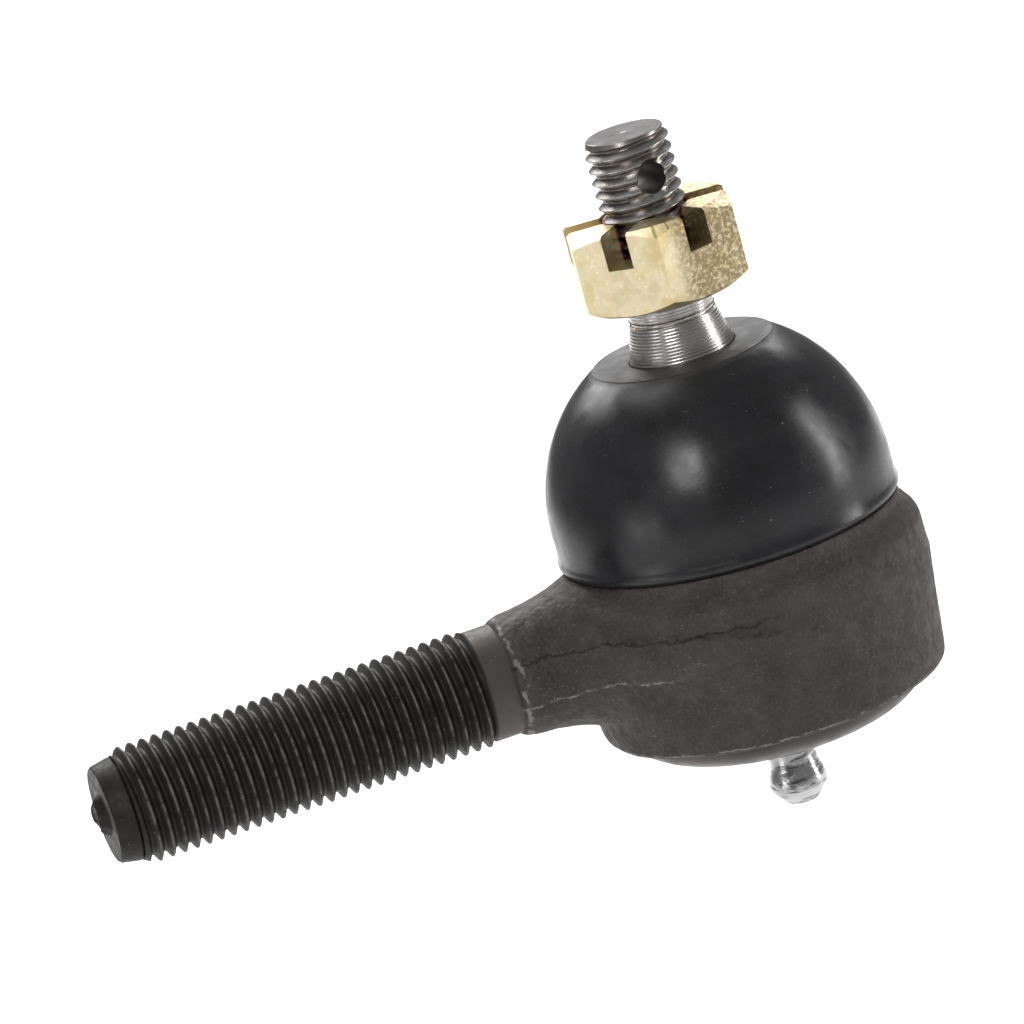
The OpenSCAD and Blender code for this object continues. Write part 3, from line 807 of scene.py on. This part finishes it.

# ---------------------------------------------------------------------------
# Dust boot: a thick moulded rubber dome, open below, that grips the stud's
# cone with its flat top and stands on the bowl's top face.  Satin black, with
# dust and fibres on it, and the flat top painted greyer as painted light,
# with moulded rings.
# ---------------------------------------------------------------------------
boot_r = boot_high[0]
boot_base, boot_top = boot_low[2], boot_high[2]
boot_flat_r = 10.7 * mm
boot_wall = 2.2 * mm
boot_collar = 3 * mm
dome_centre = boot_top - math.sqrt(boot_r ** 2 - boot_flat_r ** 2)
grip_r = cone_small_r + (cone_top - boot_top) * cone_slope + 0.05 * mm
ring_gap = 0.75 * mm
ring_depth = 0.07 * mm


def dome(radius, top_z, count):
    """An arc about the dome's centre, from its side up to a height."""
    reach = math.degrees(math.asin((top_z - dome_centre) / radius))
    return bend((0, dome_centre), radius, 0, reach, count)


flat_top = []
ring_r = boot_flat_r
while ring_r > grip_r + 1.2 * mm:
    flat_top += [(ring_r, boot_top - 0.02 * mm), (ring_r - ring_gap * 0.4, boot_top),
                 (ring_r - ring_gap * 0.7, boot_top - ring_depth)]
    ring_r -= ring_gap
inner_r = boot_r - boot_wall
boot = turned("dust_boot", [
    (inner_r, boot_base + 0.02 * mm), (boot_r - 0.5 * mm, boot_base), (boot_r - 0.2 * mm, boot_base + 0.2 * mm),
    (boot_r + 0.1 * mm, boot_base + 0.6 * mm), (boot_r + 0.12 * mm, boot_base + 0.95 * mm),
    (boot_r - 0.02 * mm, boot_base + 1.35 * mm), (boot_r - 0.1 * mm, boot_base + 1.8 * mm),
    (boot_r - 0.12 * mm, boot_base + 3 * mm)]
    + dome(boot_r - 0.1 * mm, boot_top - 0.1 * mm, 30) + flat_top
    + [(grip_r + 0.5 * mm, boot_top), (grip_r + 0.12 * mm, boot_top - 0.1 * mm), (grip_r, boot_top - 0.4 * mm),
       (grip_r + boot_collar * cone_slope, boot_top - boot_collar)]
    + list(reversed(dome(inner_r, boot_top - boot_collar, 20)))
    + [(inner_r, boot_base + 0.02 * mm)], 160)
for point in boot.data.vertices:
    place_mm = point.co / mm
    sway = noise.noise(place_mm * 0.1 + Vector((2, 5, 8))) * 0.10
    calm = ramp(point.co.z, boot_base, boot_base + 3 * mm) * (1 - ramp(point.co.z, boot_top - 2 * mm, boot_top))
    point.co += Vector((point.co.x, point.co.y, 0)).normalized() * sway * calm * mm
smooth(boot, 40)

rubber, add, shader = new_finish("moulded_rubber")
place = in_mm(add)
from_axis, split = radius_about(add, place, 0, 1)
height = split.outputs[2]
bloom = cloud(add, place, 0.12, 5, 0.6)
black = blend_colours(add, between(add, bloom, 0.3, 0.7), (0.012, 0.012, 0.0135), (0.021, 0.021, 0.0235))
# painted light: the boot's flat top is painted greyer, unevenly, and also made rougher
painted_grey_top = between(add, height, boot_top / mm - 0.6, boot_top / mm - 0.1)
painted_grey_top = sum_up(add, painted_grey_top, between(add, cloud(add, place, 0.5, 4), 0.3, 0.6, 0.55, 1), "MULTIPLY")
black = blend_colours(add, painted_grey_top, black, (0.050, 0.048, 0.048))
lint = sum_up(add, specks(add, place, 0.45, 0.05, 0.5), specks(add, place, 1.3, 0.09, 0.05), "MAXIMUM")
fibre = scratches(add, place, (2.2, 2.2, 9), (0.6, 0.3, 0.9), 0.69)
lint = sum_up(add, lint, sum_up(add, fibre, 0.5, "MULTIPLY"), "MAXIMUM")
black = blend_colours(add, sum_up(add, lint, 0.6, "MULTIPLY"), black, (0.34, 0.33, 0.32))
brushed = add("ShaderNodeMapping", {"Vector": place, "Rotation": (0.5, 0.35, 0), "Scale": (0.6, 0.6, 5)}).outputs[0]
marks = bumps(add, cloud(add, brushed, 1.0, 3), 0.012 * mm, 0.3)
marks = bumps(add, cloud(add, place, 3.0, 3), 0.02 * mm, 0.25, marks)
matt = between(add, cloud(add, place, 0.3, 4), 0.3, 0.7, 0.22, 0.34)
wire(rubber, shader, Base_Color=black, Normal=marks, Specular_IOR_Level=0.45,
     Roughness=sum_up(add, matt, sum_up(add, painted_grey_top, 0.28, "MULTIPLY")))
boot.data.materials.append(rubber)
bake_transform(boot)
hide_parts("dust_boot")

# ---------------------------------------------------------------------------
# View: a telephoto camera with the stud leaning left, over a plain pale
# floor, under two softboxes and a pale sky.
# ---------------------------------------------------------------------------
turn_about, raised, tipped = (math.radians(a) for a in (-12.05, 15.16, 15.52))
camera_distance = 1.1
aim_right, aim_up = -23.79 * mm, 16.56 * mm
toward = Vector((math.sin(turn_about) * math.cos(raised), -math.cos(turn_about) * math.cos(raised),
                 math.sin(raised)))
right = (-toward).cross(Vector((0, 0, 1))).normalized()
up = right.cross(-toward)
bpy.ops.object.camera_add(location=toward * camera_distance + right * aim_right + up * aim_up)
camera = bpy.context.active_object
camera.data.lens = 334.3
camera.data.sensor_width = 36
camera.data.clip_end = 20
upright = up * math.cos(tipped) + right * math.sin(tipped)
sideways = right * math.cos(tipped) - up * math.sin(tipped)
camera.rotation_euler = Matrix((sideways, upright, toward)).transposed().to_euler()
bpy.context.scene.camera = camera
bpy.context.scene.view_settings.view_transform = "Standard"

floor_z = cad_box[0][2] - 90 * mm
bpy.ops.mesh.primitive_plane_add(size=12, location=(0, 0, floor_z))
floor = bpy.context.active_object
floor.name = "floor"
paper, add, shader = new_finish("pale_paper")
wire(paper, shader, Base_Color=(0.86, 0.86, 0.86, 1), Roughness=0.9,
     Normal=bumps(add, cloud(add, in_mm(add), 0.2, 3), 0.05 * mm, 0.2))
floor.data.materials.append(paper)

sky = bpy.data.worlds.new("pale_sky")
sky.use_nodes = True
sky.node_tree.nodes["Background"].inputs["Color"].default_value = (1, 1, 1, 1)
sky.node_tree.nodes["Background"].inputs["Strength"].default_value = 0.2
bpy.context.scene.world = sky

# softboxes: name, where they stand, what they face, width, height, watts
for name, where, facing, wide, tall, watts in (
        ("left_softbox", (-0.40, -0.62, 0.50), (0, 0, 0), 0.26, 0.36, 2.6),
        ("low_softbox", (-0.82, -0.30, -0.04), (0, 0, 0.03), 0.35, 0.22, 0.55),
        ("right_softbox", (0.72, -0.22, 0.14), (0, 0, 0), 0.12, 0.60, 2.2),
        ("top_softbox", (-0.1, 0.30, 0.90), (0, 0, 0), 0.7, 0.5, 2.2),
        ("floor_light", (0.10, 0.62, 0.40), (0.10, 0.56, floor_z), 0.9, 0.6, 8.0)):
    direction = (Vector(where) - Vector(facing)).normalized()
    bpy.ops.object.light_add(type="AREA", location=where, rotation=direction.to_track_quat("Z", "Y").to_euler())
    lamp = bpy.context.active_object
    lamp.name = name
    lamp.data.shape = "RECTANGLE"
    lamp.data.size, lamp.data.size_y = wide, tall
    lamp.data.energy = watts
